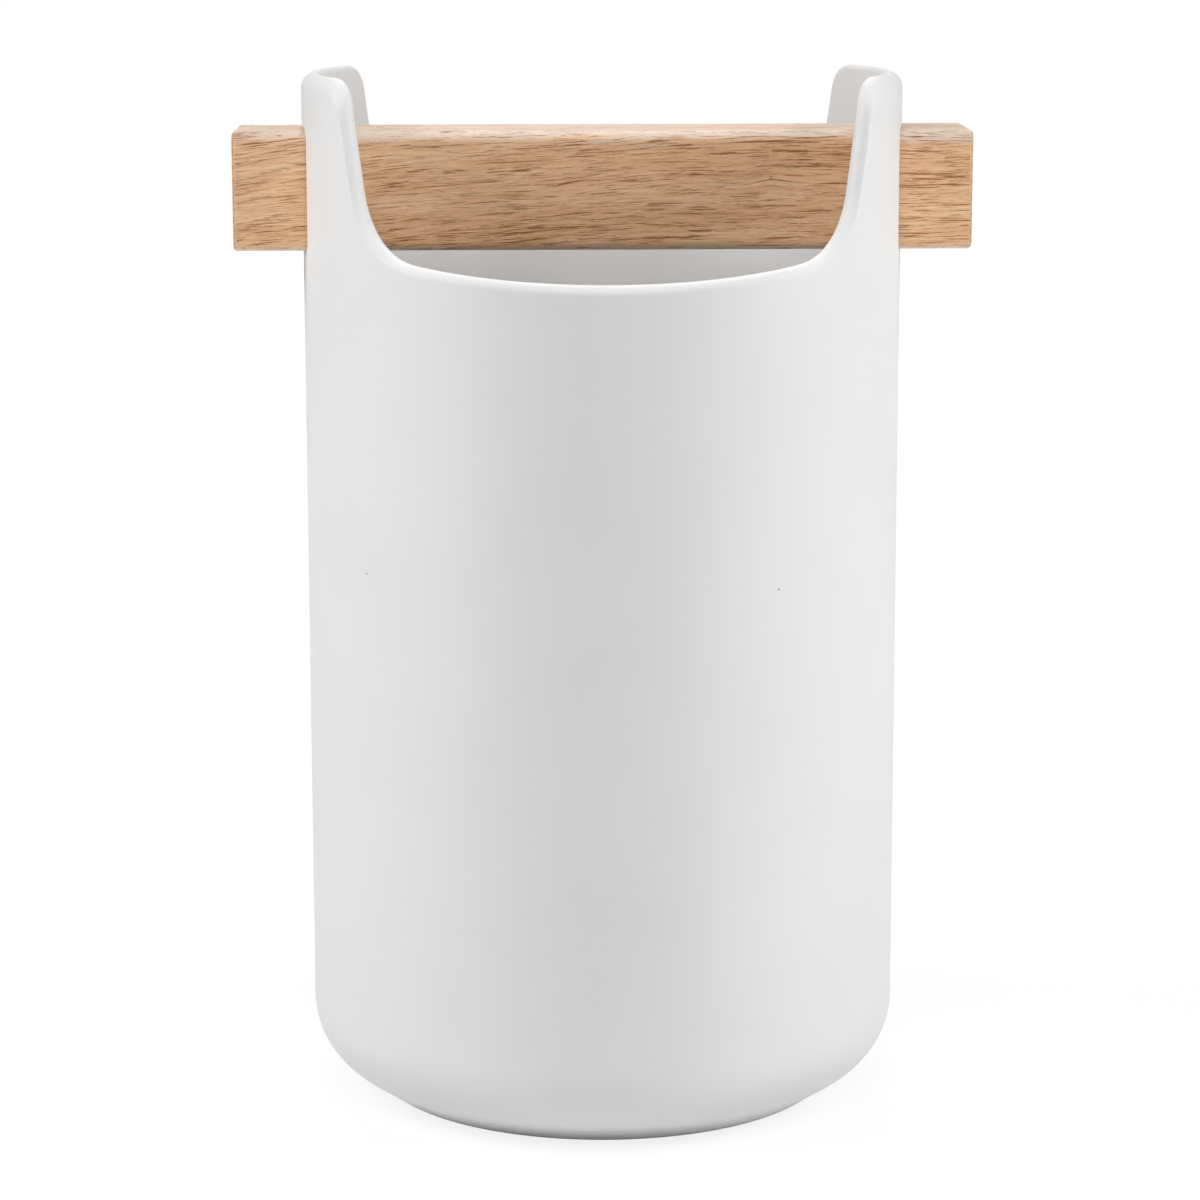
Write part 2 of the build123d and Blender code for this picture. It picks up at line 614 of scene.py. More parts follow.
        heart = (away + fibre.centred() * self.knot_fray).step_from(*self.knot_edge)
        colour = graph.blend(heart * self.knot_share, colour, self.vessel)
        end_grain = graph.axis(facing, Axis.X).maths("ABSOLUTE").step_from(*self.end_facing)
        colour = graph.blend(end_grain, colour, self.end_colour(graph))

        fine = graph.bump(fibre, *self.fibre_relief)
        return {
            "Base Color": colour,
            "Roughness": self.roughness + fibre * self.fibre_roughness,
            "Normal": graph.bump(1.0 - vessels, *self.vessel_relief, under=fine),
        }

    def end_colour(self, graph: Graph) -> Term:
        """The end grain: growth rings round a pith that lies outside the bar, with pores in the early wood.

        Args:
            graph: The material's graph.

        Returns:
            Its colour.
        """
        reach = graph.length(graph.place((0.0, 1.0, 1.0), origin=self.pith))
        wobble = graph.even_noise(self.wobble_density, detail=2.0).centred()
        ring = (reach / self.ring_width + wobble * self.ring_wobble).maths("FRACT")
        colour = graph.blend(ring.step_from(*self.late_edge), self.early_wood, self.late_wood)
        inner, outer = (ring.step_from(*edge) for edge in self.end_pore_rings)
        pores = graph.noise(graph.place(self.end_pore_density), detail=2.0).step_from(*self.end_pore_edge)
        return graph.blend(inner * outer * pores * self.end_pore_share, colour, self.vessel)

    def drawn_streak(self, graph: Graph, x: Term, level: Term, streak: Streak, fibre: Term) -> Term:
        """One of the long streaks on the front.

        Args:
            graph: The material's graph; not used.
            x: The place along the bar.
            level: The place above the bar's centre, with the grain's climb taken off.
            streak: The streak.
            fibre: Noise that frays its edges.

        Returns:
            How dark the streak is here, from 0 to 1.
        """
        climb = streak.along * self.rise - streak.along**2 * self.flattening
        lengthwise = (x - streak.along) / (streak.length / 2)
        across = (level - (streak.above - climb)) / (streak.thickness / 2)
        across += fibre.centred() * self.streak_fray
        return (lengthwise * lengthwise + across * across).step_from(*self.streak_edge) * self.streak_share


@dataclass(frozen=True)
class BrightFloor(Finish):
    """A matt white floor as bright as the backdrop it runs into, which still takes the object's shadow."""

    name: str = "bright_floor"
    colour: Colour = (0.87, 0.87, 0.87, 1.0)
    glow_share: float = 0.78
    glow: float = 1.06
    merge_edge: Pair = (220.0, 520.0)

    def surface(self, graph: Graph) -> Term:
        """The floor's shader, whose glow is for the camera and for reflections only.

        Args:
            graph: The material's graph.

        Returns:
            The shader.
        """
        seen = graph.node("LightPath", result="Is Camera Ray")
        mirrored = graph.node("LightPath", result="Is Glossy Ray")
        merged = graph.length(graph.place()).step_from(*self.merge_edge)
        share = seen.maths("MAXIMUM", mirrored) * (self.glow_share + merged * (1.0 - self.glow_share))
        matt = graph.node("BsdfDiffuse", values={"Color": self.colour})
        glow = graph.node("Emission", values={"Color": WHITE, "Strength": self.glow})
        return graph.node("MixShader", values={0: share, 1: matt, 2: glow})


class Shell:
    """Collects the points and faces of one closed surface."""

    def __init__(self) -> None:
        """Starts empty."""
        self.points: list[Vector] = []
        self.faces: list[tuple[int, ...]] = []

    def point(self, x: float, y: float, z: float) -> int:
        """Adds a point in millimetres and gives its number."""
        self.points.append(Vector((x, y, z)) * MM)
        return len(self.points) - 1

    def half_way(self, first: Sequence[int], second: Sequence[int]) -> list[int]:
        """Adds the ring of points half way between two rings.

        Args:
            first: Point numbers of one ring.
            second: As many point numbers of the other.

        Returns:
            The new point numbers.
        """
        start = len(self.points)
        self.points += [(self.points[a] + self.points[b]) / 2 for a, b in zip(first, second)]
        return list(range(start, len(self.points)))

    def bridge(self, first: Sequence[int], second: Sequence[int]) -> None:
        """Adds a band of quads between two rings of points.

        Args:
            first: Point numbers of one ring.
            second: As many point numbers of the next ring.
        """
        count = len(first)
        for i in range(count):
            j = (i + 1) % count
            self.faces.append((first[i], first[j], second[j], second[i]))

    def mesh_object(self, name: str) -> bpy.types.Object:
        """Turns the collected points and faces into an object.

        Args:
            name: The piece's name.

        Returns:
            The object, linked to the scene.
        """
        mesh = bpy.data.meshes.new(name)
        mesh.from_pydata([tuple(p) for p in self.points], [], self.faces)
        made = bpy.data.objects.new(name, mesh)
        bpy.context.scene.collection.objects.link(made)
        return made


def close_and_smooth(piece: bpy.types.Object) -> None:
    """Merges doubles, turns all faces outwards and shades the piece smooth but for its creases.

    Args:
        piece: The object to finish.
    """
    shape = bmesh.new()
    shape.from_mesh(piece.data)
    bmesh.ops.remove_doubles(shape, verts=shape.verts, dist=MERGE_METRES)
    bmesh.ops.dissolve_degenerate(shape, edges=shape.edges, dist=MERGE_METRES)
    bmesh.ops.recalc_face_normals(shape, faces=shape.faces)
    shape.to_mesh(piece.data)
    shape.free()
    piece.data.shade_smooth()
    piece.data.set_sharp_from_angle(angle=math.radians(CREASE_DEGREES))


class RollUp(Graph):
    """A Geometry Nodes tree that rolls the pot's flat wall up round its axis.

    The flat wall has the distance along the middle of the wall on X, the distance from it on Y, and the
    height on Z. Each point keeps its height and goes to the angle that its distance along the wall gives.
    """

    def __init__(self, finish: bpy.types.Material) -> None:
        """Builds the tree with its named inputs.

        Args:
            finish: The material that the rolled piece gets.
        """
        super().__init__(bpy.data.node_groups.new("roll_up_the_wall", "GeometryNodeTree"))
        sides = self.tree.interface
        sides.new_socket("Geometry", in_out="INPUT", socket_type="NodeSocketGeometry")
        radius = sides.new_socket("Middle Radius", in_out="INPUT", socket_type="NodeSocketFloat")
        self.radius_input = radius.identifier
        sides.new_socket("Geometry", in_out="OUTPUT", socket_type="NodeSocketGeometry")
        wall = self.node("NodeGroupInput", result="Geometry")
        middle = self.node("NodeGroupInput", result="Middle Radius")

        flat = self.node("GeometryNodeInputPosition")
        along, off, height = (self.axis(flat, axis) for axis in Axis)
        turn = along / middle
        reach = middle + off
        across, back = reach * turn.maths("COSINE"), reach * turn.maths("SINE")
        rolled = self.node("CombineXYZ", values={0: across, 1: back, 2: height})
        moved = self.node("GeometryNodeSetPosition", values={"Geometry": wall, "Position": rolled})
        real = self.node("GeometryNodeRealizeInstances", values={"Geometry": moved})
        dressed = self.node("GeometryNodeSetMaterial", values={"Geometry": real, "Material": finish})
        self.node("NodeGroupOutput", values={"Geometry": dressed})

    def apply(self, flat: bpy.types.Object, name: str, middle_radius: float) -> bpy.types.Object:
        """Rolls a flat piece up.

        Args:
            flat: The object with the flat wall, which is used up.
            name: The finished piece's name.
            middle_radius: The radius of the middle of the wall, in metres.

        Returns:
            The rolled piece as a plain mesh.
        """
        modifier = flat.modifiers.new("roll_up", "NODES")
        modifier.node_group = self.tree
        modifier[self.radius_input] = middle_radius
        graph = bpy.context.evaluated_depsgraph_get()
        mesh = bpy.data.meshes.new_from_object(flat.evaluated_get(graph))
        flat.modifiers.clear()
        bpy.data.objects.remove(flat)
        mesh.name = name
        made = bpy.data.objects.new(name, mesh)
        bpy.context.scene.collection.objects.link(made)
        return made


@dataclass(frozen=True)
class Lip:
    """How the wall's top edge is eased: how far down each face, how far across the wall, and the outer fold.

    A fold of 0 makes the outside a full quarter round. Otherwise the round starts at that angle, in degrees,
    and leaves a crisp fold along the outer face.
    """

    outside: float
    inside: float
    outside_width: float
    inside_width: float
    fold: float = 0.0

    def towards(self, other: "Lip", share: float) -> "Lip":
        """A lip part of the way to another one.

        Args:
            other: The lip at share 1.
            share: How far along, from 0 to 1; the change starts and ends gently.

        Returns:
            The lip in between.
        """
        eased = share * share * (3 - 2 * share)
        return Lip(*(mine + (its - mine) * eased for mine, its in zip(astuple(self), astuple(other))))


@dataclass(frozen=True)
class Stop:
    """A point of the top edge in the unrolled wall, the way into the wall from it, and the lip there."""

    place: Vector
    into: Vector
    lip: Lip

    def moved(self, mirror: bool = False, along: float = 0.0) -> "Stop":
        """The same stop elsewhere round the pot.

        Args:
            mirror: Whether it is first mirrored at the middle of the ear.
            along: How far it is then moved along the wall.

        Returns:
            The new stop.
        """
        side = -1.0 if mirror else 1.0
        place = Vector((side * self.place.x + along, self.place.y))
        return Stop(place, Vector((side * self.into.x, self.into.y)), self.lip)


@dataclass(frozen=True)
class Crest:
    """The top edge of the unrolled wall, from the middle of an ear to the middle of the rim's dip.

    The ears are rounded over on the outside. In their corners that rounding turns into a crisp fold, which
    runs down the flanks and fades out in the sweep. Along the rim both edges are rounded alike.
    """

    height: float
    quarter: float
    ear_width: float = 61.2
    ear_corner_radius: float = 8.0
    flank_angle: float = 75.5
    sweep_radius: float = 18.0
    rim_drop: float = 36.7
    dip_radius: float = 330.0
    middle_steps: int = 16
    middle_width: float = 16.0
    ear_lip: Lip = Lip(3.0, 1.0, 2.9, 1.0)
    flank_lip: Lip = Lip(0.6, 2.4, 1.5, 2.4, 48.0)
    rim_lip: Lip = Lip(1.9, 1.9, 1.9, 1.9)
    outer_steps: int = 6
    corner_steps: int = 16
    flank_steps: int = 8
    sweep_steps: int = 20
    dip_steps: int = 26
    fold_start: int = 5
    fold_end: int = 18

    def stops(self) -> list[Stop]:
        """Points along the edge.

        Returns:
            The stops of a quarter of the way round.
        """
        flank_out = direction(90 - self.flank_angle)
        flank_down = direction(-self.flank_angle)
        corner_top = Vector((self.ear_width / 2, self.height))
        reach = self.ear_corner_radius * math.tan(math.radians(self.flank_angle / 2))
        corner = corner_top - Vector((reach, self.ear_corner_radius))
        dip = Vector((self.quarter, self.height - self.rim_drop + self.dip_radius))

        # The sweep touches the ear's flank on one side and the dip's shallow arc on the other.
        offset = corner_top + flank_out * self.sweep_radius - dip
        along = offset.dot(flank_down)
        between = self.dip_radius - self.sweep_radius
        slide = math.sqrt(along**2 - offset.dot(offset) + between**2) - along
        sweep = dip + offset + flank_down * slide
        meeting = math.degrees(math.atan2(sweep.y - dip.y, sweep.x - dip.x)) % 360
        flank_start = corner + flank_out * self.ear_corner_radius
        flank_end = sweep - flank_out * self.sweep_radius

        down = Vector((0.0, -1.0))
        level = spread(0.0, self.middle_width, self.middle_steps)
        level += spread(self.middle_width, corner.x, self.outer_steps)[1:]
        edge = [Stop(Vector((s, self.height)), down, self.ear_lip) for s in level]
        for i, angle in enumerate(spread(90, 90 - self.flank_angle, self.corner_steps)[1:], 1):
            place = corner + direction(angle) * self.ear_corner_radius
            edge.append(Stop(place, -direction(angle), self.folding_lip(i)))
        for i, share in enumerate(spread(0, 1, self.flank_steps)[1:], self.corner_steps + 1):
            edge.append(Stop(flank_start.lerp(flank_end, share), -flank_out, self.folding_lip(i)))
        bend = spread(270 - self.flank_angle, meeting, self.sweep_steps)
        for i, angle in enumerate(bend[1:], 1):
            lip = self.flank_lip.towards(self.rim_lip, i / self.sweep_steps)
            edge.append(Stop(sweep + direction(angle) * self.sweep_radius, direction(angle), lip))
        for angle in spread(meeting, 270, self.dip_steps)[1:]:
            edge.append(Stop(dip + direction(angle) * self.dip_radius, direction(angle), self.rim_lip))
        return edge

    def folding_lip(self, step: int) -> Lip:
        """The lip after a number of steps from the start of the ear's corner, where the fold comes in."""
        share = (step - self.fold_start) / (self.fold_end - self.fold_start)
        return self.ear_lip.towards(self.flank_lip, min(max(share, 0.0), 1.0))

    def whole(self) -> list[Stop]:
        """The top edge all the way round.

        Returns:
            The stops, from the middle of the rear rim and back to it.
        """
        quarter = self.stops()
        half = [stop.moved(mirror=True) for stop in reversed(quarter[1:])] + quarter
        return [stop.moved(along=-2 * self.quarter) for stop in half] + half[1:]


@dataclass
class CeramicCrock:
    """The pot: foot ring, rounded corner, straight wall, rounded lip, and two ears with their openings.

    The rounded corner ends at an angle below level, and a straight slope leads from there into the foot's
    rounded edge. The support distances keep rows of points close to an edge, so that it shades crisply.
    """

    outer_radius: float
    height: float
    wall: float = 4.0
    floor: float = 5.0
    outer_corner: float = 16.0
    inner_corner: float = 12.0
    foot_radius: float = 46.5
    foot_ring: float = 5.5
    foot_height: float = 1.9
    foot_edge: float = 0.6
    foot_slope: float = 53.0
    corner_end: float = 63.0
    slope_shares: Triple = (0.1, 0.5, 0.9)
    underside_rings: tuple[float, ...] = (0.0, 13.0, 26.0, 38.0)
    floor_rings: tuple[float, ...] = (30.0, 15.0, 0.0)
    opening_width: float = 25.0
    opening_height: float = 24.4
    opening_top_cover: float = 10.6
    opening_corner: float = 2.7
    opening_edge: float = 0.4
    patch: float = 16.0
    patch_steps: int = 32
    straight_steps: int = 24
    settle_height: float = 150.0
    rows_below_settling: int = 6
    rows_above_settling: int = 5
    lip_steps: int = 10
    foot_steps: int = 5
    outer_corner_steps: int = 20
    inner_corner_steps: int = 16
    opening_edge_steps: int = 6
    ring_support: float = 0.3
    edge_support: float = 0.2
    floor_support: float = 0.5
    wall_support: Pair = (0.6, 4.0)
    lip_support: Pair = (0.7, 0.2)

    def __post_init__(self) -> None:
        """Works out the sizes that follow from the others."""
        self.inner_radius = self.outer_radius - self.wall
        self.middle = self.outer_radius - self.wall / 2
        self.quarter = self.middle * math.pi / 2
        self.opening_z = self.height - self.opening_top_cover - self.opening_height / 2
        self.patch_low = self.opening_z - self.patch
        self.patch_high = self.opening_z + self.patch
        half_steps = self.patch_steps // 2
        self.crest = Crest(self.height, self.quarter, middle_width=self.patch, middle_steps=half_steps)

    def below(self) -> list[Vector]:
        """The section under the outer wall.

        Returns:
            Points from the middle of the underside, round the foot, to the foot of the outer wall.
        """
        edge = self.foot_edge
        ring_inside = self.foot_radius - self.foot_ring
        inner_edge, outer_edge = ring_inside + edge, self.foot_radius - edge
        corner = (self.outer_radius - self.outer_corner, self.foot_height + self.outer_corner)
        slope_top = Vector(corner) + direction(-self.corner_end) * self.outer_corner
        slope_foot = Vector((outer_edge, edge)) + direction(-self.foot_slope) * edge
        recess = (*self.underside_rings, ring_inside - self.ring_support, ring_inside)
        section = [Vector((r, self.foot_height)) for r in recess]
        section.append(Vector((ring_inside, self.foot_height - self.ring_support)))
        section += arc((inner_edge, edge), edge, 180, 270, self.foot_steps)
        section.append(Vector((inner_edge + self.edge_support, 0.0)))
        section.append(Vector((outer_edge - self.edge_support, 0.0)))
        section += arc((outer_edge, edge), edge, 270, 360 - self.foot_slope, self.foot_steps)
        section += [slope_foot.lerp(slope_top, share) for share in self.slope_shares]
        section += arc(corner, self.outer_corner, -self.corner_end, 0, self.outer_corner_steps)
        return section

    def inside(self) -> list[Vector]:
        """The section under the inner wall.

        Returns:
            Points from the foot of the inner wall to the middle of the floor.
        """
        floor_top = self.foot_height + self.floor
        corner = (self.inner_radius - self.inner_corner, floor_top + self.inner_corner)
        section = arc(corner, self.inner_corner, 0, -90, self.inner_corner_steps)
        return section + [Vector((r, floor_top)) for r in (corner[0] - self.floor_support, *self.floor_rings)]

    def wall_heights(self, low: float, high: float) -> list[float]:
        """Heights of the wall's rows in the middle of an ear.

        Args:
            low: Where the wall starts.
            high: Where the lip starts.

        Returns:
            The heights in between, from below to above.
        """
        near, far = self.wall_support
        rows = [low + near] + spread(low + far, self.settle_height, self.rows_below_settling)
        rows += spread(self.settle_height, self.patch_low, self.rows_above_settling)[1:]
        rows += spread(self.patch_low, self.patch_high, self.patch_steps)[1:]
        return rows + [(self.patch_high + high) / 2] + [high - below for below in self.lip_support]

    def fitted(self, height: float, high: float, top: float) -> float:
        """A row's height under another stretch of the top edge.

        Args:
            height: The row's height in the middle of an ear.
            high: Where the lip starts there.
            top: Where the lip starts here.

        Returns:
            The row's height here.
        """
        if height <= self.settle_height:
            return height
        squeeze = (top - self.settle_height) / (high - self.settle_height)
        return self.settle_height + (height - self.settle_height) * squeeze

    def lip_section(self, lip: Lip) -> list[Pair]:
        """The lip's section.

        Args:
            lip: The lip.

        Returns:
            Depth into the wall and distance from its middle, from outside to inside.
        """
        half = self.wall / 2
        fold = math.radians(lip.fold)
        outside, inside = [], []
        for a in spread(fold, math.pi / 2, self.lip_steps):
            down = (1 - math.sin(a)) / (1 - math.sin(fold))
            across = 1 - math.cos(a) / math.cos(fold)
            outside.append((lip.outside * down, half - lip.outside_width * across))
        for a in spread(0, math.pi / 2, self.lip_steps):
            inside.append((lip.inside * (1 - math.sin(a)), lip.inside_width * (1 - math.cos(a)) - half))
        return outside + inside[::-1]

    def flat_wall(self) -> Shell:
        """The whole pot, unrolled: columns along the top edge, each with the section from pole to pole.

        Returns:
            The flat shell, with distance along, distance off and height.
        """
        shell = Shell()
        below, inside = self.below(), self.inside()
        outer_top = self.height - self.crest.ear_lip.outside
        inner_top = self.height - self.crest.ear_lip.inside
        outer_rows = self.wall_heights(below[-1].y, outer_top)
        inner_rows = self.wall_heights(inside[0].y, inner_top)[::-1]
        half_wall = self.wall / 2
        columns: list[list[int]] = []
        places: list[float] = []
        for stop in self.crest.whole():
            outer = stop.place + stop.into * stop.lip.outside
            inner = stop.place + stop.into * stop.lip.inside
            column = [shell.point(outer.x, p.x - self.middle, p.y) for p in below]
            for z in outer_rows:
                column.append(shell.point(outer.x, half_wall, self.fitted(z, outer_top, outer.y)))
            for depth, off in self.lip_section(stop.lip):
                edge = stop.place + stop.into * depth
                column.append(shell.point(edge.x, off, edge.y))
            for z in inner_rows:
                column.append(shell.point(inner.x, -half_wall, self.fitted(z, inner_top, inner.y)))
            column += [shell.point(inner.x, p.x - self.middle, p.y) for p in inside]
            columns.append(column)
            places.append(stop.place.x)

        outer_start = len(below)
        inner_start = len(columns[0]) - len(inside) - len(inner_rows)
        low, high = self.patch_low, self.patch_high
        outer_patch = range(outer_start + outer_rows.index(low), outer_start + outer_rows.index(high))
        inner_patch = range(inner_start + inner_rows.index(high), inner_start + inner_rows.index(low))
        half = self.patch_steps // 2
        ears = (-2 * self.quarter, 0.0)
        middles = [min(range(len(places)), key=lambda i: abs(places[i] - ear)) for ear in ears]
        in_patch = {i for m in middles for i in range(m - half, m + half)}
        for i, (here, there) in enumerate(zip(columns, columns[1:])):
            for j in range(len(here) - 1):
                if i in in_patch and (j in outer_patch or j in inner_patch):
                    continue
                shell.faces.append((here[j], there[j], there[j + 1], here[j + 1]))
        for m in middles:
            around = range(m - half, m + half + 1)
            outer = self.patch_loop(columns, around, outer_patch.start, outer_patch.stop)
            inner = self.patch_loop(columns, around, inner_patch.stop, inner_patch.start)
            self.add_opening(shell, places[m], outer, inner)
        return shell

    @staticmethod
    def patch_loop(columns: list[list[int]], around: range, low: int, high: int) -> list[int]:
        """The points round a square patch of the wall.

        Args:
            columns: Point numbers of every column.
            around: The columns that the patch spans.
            low: The row of its lower edge.
            high: The row of its upper edge.

        Returns:
            Point numbers from the lower left corner, along the lower edge and round.
        """
        rows = range(low, high, 1 if high > low else -1)
        loop = [columns[i][low] for i in around[:-1]]
        loop += [columns[around[-1]][j] for j in rows]
        loop += [columns[i][high] for i in reversed(around[1:])]
        loop += [columns[around[0]][j] for j in reversed([*rows][1:] + [high])]
        return loop

    def opening_loop(self) -> list[tuple[Vector, Vector]]:
        """Points round an opening.

        Returns:
            Each point with the direction that leads out of the opening there, in step with patch_loop.
        """
        half = Vector((self.opening_width / 2, self.opening_height / 2))
        core = half - Vector((self.opening_corner, self.opening_corner))
        loop = []
        for side in range(4):
            outward = 90 * side - 90
            face, run = direction(outward), direction(outward + 90)
            length, rise = (core.y, half.x) if side % 2 else (core.x, half.y)
            corner = face * (rise - self.opening_corner)
            loop += self.half_corner(corner - run * length, outward - 45)
            for share in spread(-1, 1, self.straight_steps)[:-1]:
                loop.append((face * rise + run * length * share, face))
            loop += self.half_corner(corner + run * length, outward)
        return loop

    def half_corner(self, centre: Vector, start: float) -> list[tuple[Vector, Vector]]:
        """Points of half a corner of an opening.

        Args:
            centre: The corner's centre.
            start: The angle that it starts at, in degrees.

        Returns:
            Each point but the last, with the direction that leads out of the opening there.
        """
        turns = spread(start, start + 45, (self.patch_steps - self.straight_steps) // 2)[:-1]
        return [(centre + direction(turn) * self.opening_corner, direction(turn)) for turn in turns]

    def opening_ring(self, shell: Shell, ear: float, grown: float, face: Face, sunk: float) -> list[int]:
        """One ring of points round an opening.

        Args:
            shell: Where the points go.
            ear: The middle of the ear, as a distance along the wall.
            grown: How far the ring lies outside the opening's outline.
            face: The face of the wall that it starts from.
            sunk: How far it lies below that face, along the opening.

        Returns:
            The ring's point numbers.
        """
        radius = self.middle + face.value * self.wall / 2
        ring = []
        for place, outward in self.opening_loop():
            across, up = place + outward * grown
            out = math.sqrt(radius**2 - across**2) - face.value * sunk
            along = ear + self.middle * math.atan2(across, out)
            ring.append(shell.point(along, math.hypot(across, out) - self.middle, self.opening_z + up))
        return ring

    def add_opening(self, shell: Shell, ear: float, outer: list[int], inner: list[int]) -> None:
        """Joins the wall to one opening: eased edges on both faces and the lining between them.

        Args:
            shell: The flat shell.
            ear: The middle of the ear, as a distance along the wall.
            outer: The wall's points round the patch, on the outside.
            inner: The same on the inside.
        """
        edge = self.opening_edge
        turns = spread(0, math.pi / 2, self.opening_edge_steps)
        rings = [outer]
        for face, patch_edge in ((Face.OUTSIDE, outer), (Face.INSIDE, inner)):
            eased = [
                self.opening_ring(shell, ear, edge * (1 - math.sin(a)), face, edge * (1 - math.cos(a)))
                for a in turns
            ]
            support = self.opening_ring(shell, ear, edge + self.edge_support, face, 0.0)
            inwards = [shell.half_way(patch_edge, support), support] + eased
            rings += inwards if face is Face.OUTSIDE else inwards[::-1]
        rings.append(inner)
        for first, second in zip(rings, rings[1:]):
            shell.bridge(first, second)

    def build(self, finish: bpy.types.Material) -> bpy.types.Object:
        """Makes the pot.

        Args:
            finish: The glaze.

        Returns:
            The finished pot.
        """
        flat = self.flat_wall().mesh_object("flat_wall")
        pot = RollUp(finish).apply(flat, "stoneware_crock", self.middle * MM)
        close_and_smooth(pot)
        return pot


@dataclass
class OakHandle:
    """The square bar, with eased long edges and lightly broken edges at its ends."""

    length: float
    width: float
    height: float
    centre_z: float
    edge: float = 2.0
    end_edge: float = 0.8
    corner_steps: int = 10
    end_steps: int = 6
    stations: int = 48
    support: float = 0.25
    end_support: float = 0.3
    end_ring_share: float = 0.985

    def section(self, inset: float) -> list[Pair]:
        """The bar's section, drawn in by a distance.

        Args:
            inset: How far the outline is drawn in all round.

        Returns:
            Points of a rounded square, across and up.
        """
        points: list[Pair] = []
        radius = max(self.edge - inset, 0.0)
        half = Vector((self.width / 2 - inset, self.height / 2 - inset))
        for quarter in range(4):
            sign = Vector((1 if quarter in (0, 3) else -1, 1 if quarter in (0, 1) else -1))
            centre = Vector(((half.x - radius) * sign.x, (half.y - radius) * sign.y))
            start, end = 90 * quarter, 90 * quarter + 90
            first = centre + direction(start) * radius - direction(end) * self.support
            last = centre + direction(end) * radius - direction(start) * self.support
            points.append(tuple(first))
            points += [tuple(p) for p in arc(centre, radius, start, end, self.corner_steps)]
            points.append(tuple(last))
        return points

    def build(self, finish: bpy.types.Material) -> bpy.types.Object:
        """Makes the bar.

        Args:
            finish: The oak.

        Returns:
            The finished bar.
        """
        shell = Shell()
        half = self.length / 2
        edge = self.end_edge
        turns = spread(0, math.pi / 2, self.end_steps)
        right = [(half - edge * (1 - math.sin(a)), edge * (1 - math.cos(a))) for a in turns]
        reach = half - edge - self.end_support
        straight = [(x, 0.0) for x in spread(-reach, reach, self.stations)]
        left = [(-x, inset) for x, inset in reversed(right)]
        rows = []
        for x, inset in left + straight + right:
            rows.append([shell.point(x, across, self.centre_z + up) for across, up in self.section(inset)])
        for first, second in zip(rows, rows[1:]):
            shell.bridge(first, second)
        share = self.end_ring_share
        for row, x in ((rows[0], -half), (rows[-1], half)):
            section = self.section(edge)
            inner = [shell.point(x, across * share, self.centre_z + up * share) for across, up in section]
            shell.bridge(row, inner)
            hub = shell.point(x, 0.0, self.centre_z)
            for i in range(len(inner)):
                shell.faces.append((inner[i], inner[(i + 1) % len(inner)], hub))
        bar = shell.mesh_object("oak_bar")
        bar.data.materials.append(finish)
        close_and_smooth(bar)
        return bar


@dataclass(frozen=True)
class Lamp:
    """One soft box, aimed at the middle of the object, with its place and size in metres."""

    name: str
    place: Triple
    size: Pair
    watts: float

    def build(self, target: Vector) -> None:
        """Hangs the lamp.

        Args:
            target: The point that it is aimed at, in metres.
        """
        light = bpy.data.lights.new(self.name, "AREA")
        light.shape = "RECTANGLE"
        light.size, light.size_y = self.size
        light.energy = self.watts
        made = bpy.data.objects.new(self.name, light)
        made.location = self.place
        made.rotation_euler = (target - Vector(self.place)).to_track_quat("-Z", "Y").to_euler()
        bpy.context.scene.collection.objects.link(made)


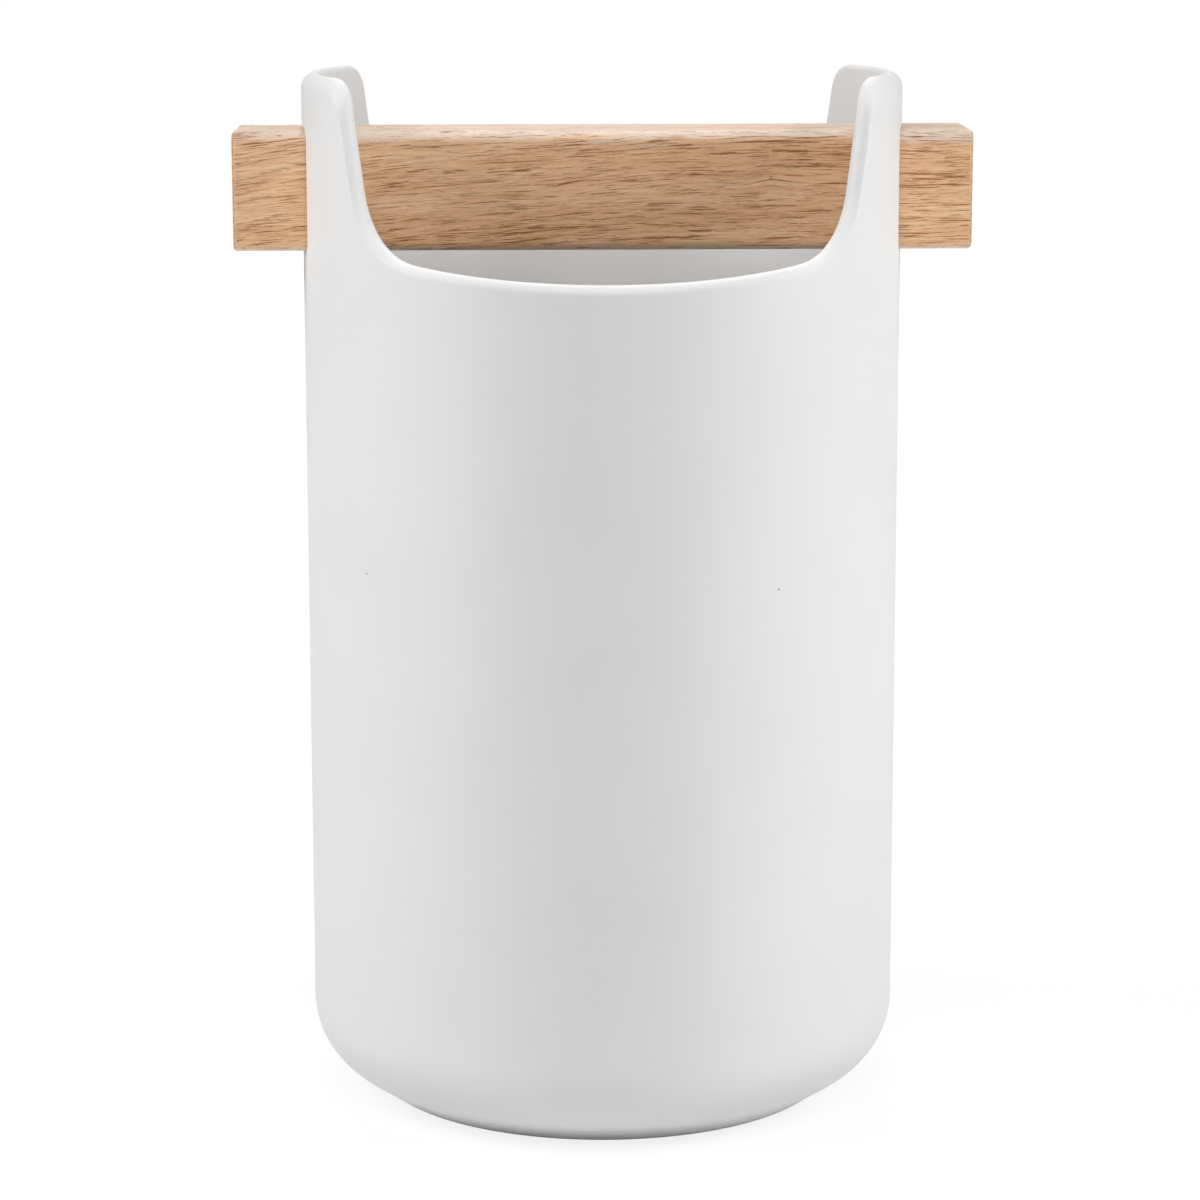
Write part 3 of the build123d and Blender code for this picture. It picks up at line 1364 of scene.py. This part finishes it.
@dataclass
class Studio:
    """A white floor and backdrop, soft boxes at both sides and above, and the camera.

    The camera's distance and height, the sensor and the floor's gap are in millimetres, angles are in
    degrees, and the floor's radius and the height that the lamps are aimed at are in metres.
    """

    camera_distance: float = 766.77
    camera_height: float = 248.19
    pitch: float = 10.921
    heading: float = -0.035
    object_turn: float = 1.405
    roll: float = -0.07
    focal_pixels: float = 3802.85
    photo_pixels: float = 1200.0
    sensor: float = 36.0
    floor_radius: float = 2.4
    floor_gap: float = 0.05
    floor_sides: int = 96
    aim_height: float = 0.11
    fill: float = 0.02
    lamps: tuple[Lamp, ...] = (
        Lamp("left_high_box", (-1.014, -0.272, 0.75), (0.36, 0.28), 4.2),
        Lamp("right_strip", (1.014, -0.272, 0.38), (0.36, 0.90), 2.2),
        Lamp("right_high_box", (1.014, -0.272, 0.75), (0.36, 0.28), 4.6),
        Lamp("left_top_box", (-0.80, -0.10, 0.95), (0.40, 0.60), 5.0),
        Lamp("right_top_box", (0.80, -0.10, 0.95), (0.40, 0.60), 2.4),
        Lamp("front_top_box", (0.0, -0.75, 1.05), (0.80, 0.40), 4.4),
        Lamp("rear_top_box", (0.0, 0.75, 1.05), (0.80, 0.40), 4.2),
    )

    def add_floor(self) -> None:
        """Lays the floor as a round sheet just under the foot."""
        under = Matrix.Translation((0.0, 0.0, -self.floor_gap * MM))
        shape = bmesh.new()
        sides, radius = self.floor_sides, self.floor_radius
        bmesh.ops.create_circle(shape, cap_ends=True, radius=radius, segments=sides, matrix=under)
        mesh = bpy.data.meshes.new("studio_floor")
        shape.to_mesh(mesh)
        shape.free()
        mesh.materials.append(BrightFloor().material())
        floor = bpy.data.objects.new("studio_floor", mesh)
        bpy.context.scene.collection.objects.link(floor)

    def add_backdrop(self) -> None:
        """Makes the world white to the camera and a soft grey light to everything else."""
        world = bpy.data.worlds.new("white_backdrop")
        world.use_nodes = True
        graph = Graph(world.node_tree)
        seen = graph.node("LightPath", result="Is Camera Ray")
        strength = self.fill + seen * (1.0 - self.fill)
        glow = graph.node("Background", values={"Color": WHITE, "Strength": strength})
        graph.node("OutputWorld", values={"Surface": glow})
        bpy.context.scene.world = world

    def add_camera(self) -> None:
        """Sets the camera up as the photograph was taken, with the object square to the axes."""
        lens = bpy.data.cameras.new("camera")
        lens.sensor_width = self.sensor
        lens.lens = self.focal_pixels / self.photo_pixels * self.sensor
        lens.dof.use_dof = False
        camera = bpy.data.objects.new("camera", lens)
        around = Matrix.Rotation(math.radians(-self.object_turn), 4, "Z")
        stand = Vector((0.0, -self.camera_distance, self.camera_height)) * MM
        aim = Matrix.Rotation(math.radians(-self.heading), 4, "Z")
        aim @= Matrix.Rotation(math.radians(90 - self.pitch), 4, "X")
        aim @= Matrix.Rotation(math.radians(self.roll), 4, "Z")
        camera.matrix_world = around @ Matrix.Translation(stand) @ aim
        bpy.context.scene.collection.objects.link(camera)
        bpy.context.scene.camera = camera

    def build(self) -> None:
        """Sets up the whole studio."""
        self.add_camera()
        self.add_floor()
        self.add_backdrop()
        for lamp in self.lamps:
            lamp.build(Vector((0.0, 0.0, self.aim_height)))
        bpy.context.scene.view_settings.view_transform = "Standard"


def install(piece: bpy.types.Object, body: Body, node: str) -> None:
    """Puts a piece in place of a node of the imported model.

    Args:
        piece: The finished piece.
        body: The body that it moves with.
        node: The node that it stands for.
    """
    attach(piece, body.value)
    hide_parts(node)
    log.info("%s: %d points, %d faces, rides on %s", piece.name, len(piece.data.vertices),
             len(piece.data.polygons), body.value)


def main() -> None:
    """Builds the studio and the two pieces, in order."""
    logging.basicConfig(level=logging.INFO, format="%(name)s: %(message)s")
    Studio().build()

    pot_low, pot_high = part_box("ceramic_crock")
    crock = CeramicCrock(outer_radius=(pot_high.x - pot_low.x) / 2 / MM, height=pot_high.z / MM)
    install(crock.build(SilkGlaze().material()), Body.CROCK, "ceramic_crock")

    bar_low, bar_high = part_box("oak_handle")
    size = (bar_high - bar_low) / MM
    bar = OakHandle(length=size.x, width=size.y, height=size.z, centre_z=(bar_low.z + bar_high.z) / 2 / MM)
    oak = PaleOak(centre=(0.0, 0.0, bar.centre_z))
    install(bar.build(oak.material()), Body.HANDLE, "oak_handle")


if __name__ == "__main__":
    main()
